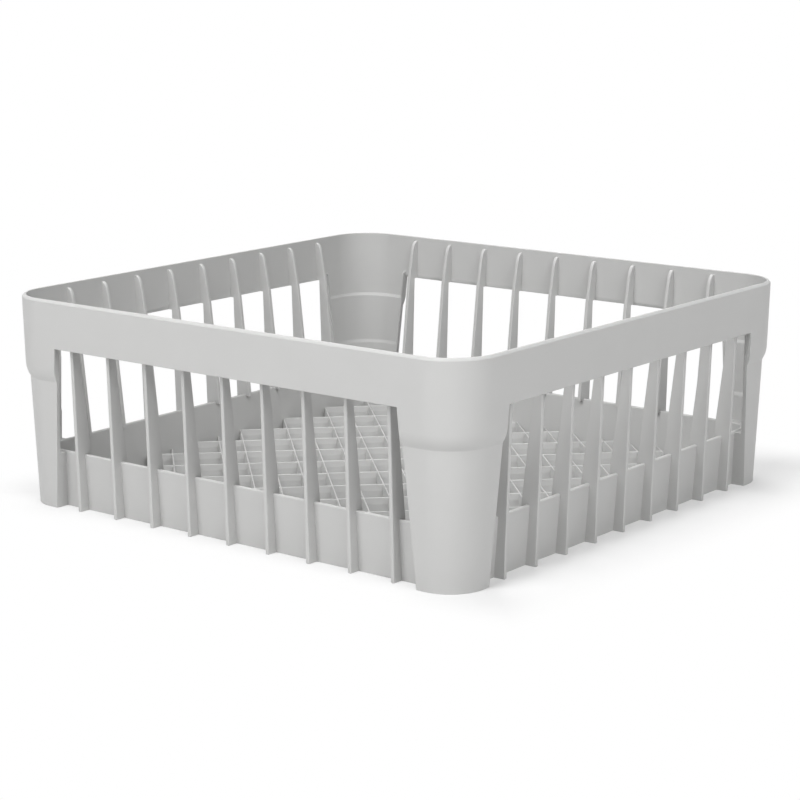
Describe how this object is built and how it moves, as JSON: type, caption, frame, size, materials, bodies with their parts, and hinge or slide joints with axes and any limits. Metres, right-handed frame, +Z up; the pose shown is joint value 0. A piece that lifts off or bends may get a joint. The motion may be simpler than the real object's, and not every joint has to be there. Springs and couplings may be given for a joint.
{
  "type": "dishwasher rack",
  "caption": "Square open basket with a diagonal lattice floor, stepped corner posts and upright fins under a solid rim band, for holding glasses in a dishwasher.",
  "frame": {"origin": "middle of the base, on the plane the basket stands on", "axes": "+Z up through the open top; X and Y square to the four walls"},
  "size_m": [0.4, 0.4, 0.15],
  "materials": {
    "rack_plastic": "fine matte moulded polypropylene, light grey"
  },
  "bodies": {
    "root": {"rack": "rack_plastic"}
  },
  "joints": []
}
